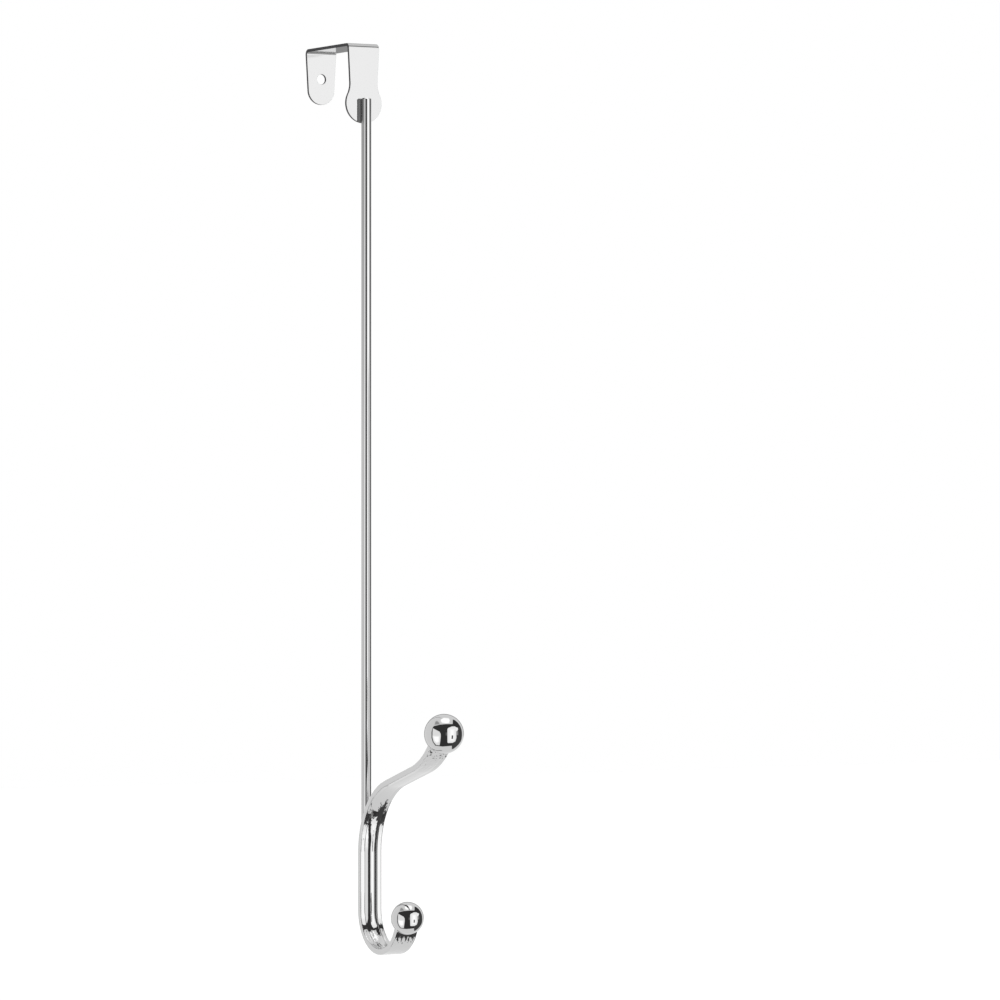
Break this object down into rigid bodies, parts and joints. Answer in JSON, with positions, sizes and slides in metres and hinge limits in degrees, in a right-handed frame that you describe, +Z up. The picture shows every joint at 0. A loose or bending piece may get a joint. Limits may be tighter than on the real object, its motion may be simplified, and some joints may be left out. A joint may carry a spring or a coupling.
{
  "type": "over door hook",
  "caption": "Chromed steel hook that hangs over a door's top edge on a folded strap: a long round rod carries a ribbed bar with an upper arm and a lower hook, each ending in a ball.",
  "frame": {"origin": "centre of the strap's underside where it rests on the door's top edge, halfway between the door's faces", "axes": "+Z up, -Y into the room where the hooks point, +Y to the door's far face, X across the strap; symmetric about X = 0"},
  "size_m": [0.0198, 0.1402, 0.4539],
  "materials": {
    "chromed_sheet": "bright chrome plate on folded sheet steel",
    "chromed_rod": "bright chrome plate on drawn steel rod",
    "chromed_bar": "bright chrome plate on rolled steel bar",
    "chromed_ball": "bright chrome plate on a polished steel ball"
  },
  "bodies": {
    "root": {"over_door_strap": "chromed_sheet", "hanger_rod": "chromed_rod", "hook_bar": "chromed_bar", "end_balls": "chromed_ball"}
  },
  "joints": []
}
